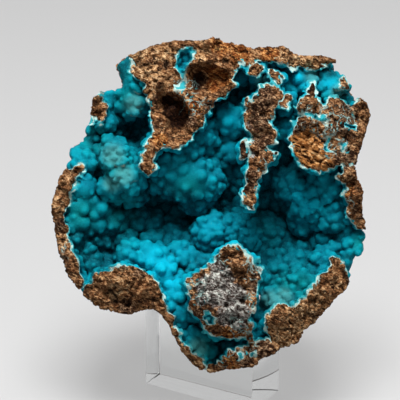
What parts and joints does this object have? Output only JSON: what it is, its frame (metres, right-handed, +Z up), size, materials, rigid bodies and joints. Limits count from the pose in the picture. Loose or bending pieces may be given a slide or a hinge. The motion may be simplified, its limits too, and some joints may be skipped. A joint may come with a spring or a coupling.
{
  "type": "hemimorphite specimen on a clear block",
  "caption": "Broken brown limonite nodule whose hollow is lined with a rounded turquoise hemimorphite crust, leaning back on a clear acrylic display block.",
  "frame": {"origin": "centre of the block's underside, which rests on the surface", "axes": "+Z up; the specimen's open face looks along -Y, leaning back 20 degrees, and +X is to the right as seen from the front"},
  "size_m": [0.1296, 0.0951, 0.1551],
  "materials": {
    "brown_limonite": "rough, earthy broken rock with rust and tan patches",
    "turquoise_hemimorphite": "satin to matt, rounded botryoidal crust",
    "clear_acrylic": "clear, polished"
  },
  "bodies": {
    "root": {"limonite_matrix": "brown_limonite", "hemimorphite_crust": "turquoise_hemimorphite", "acrylic_block": "clear_acrylic"}
  },
  "joints": []
}
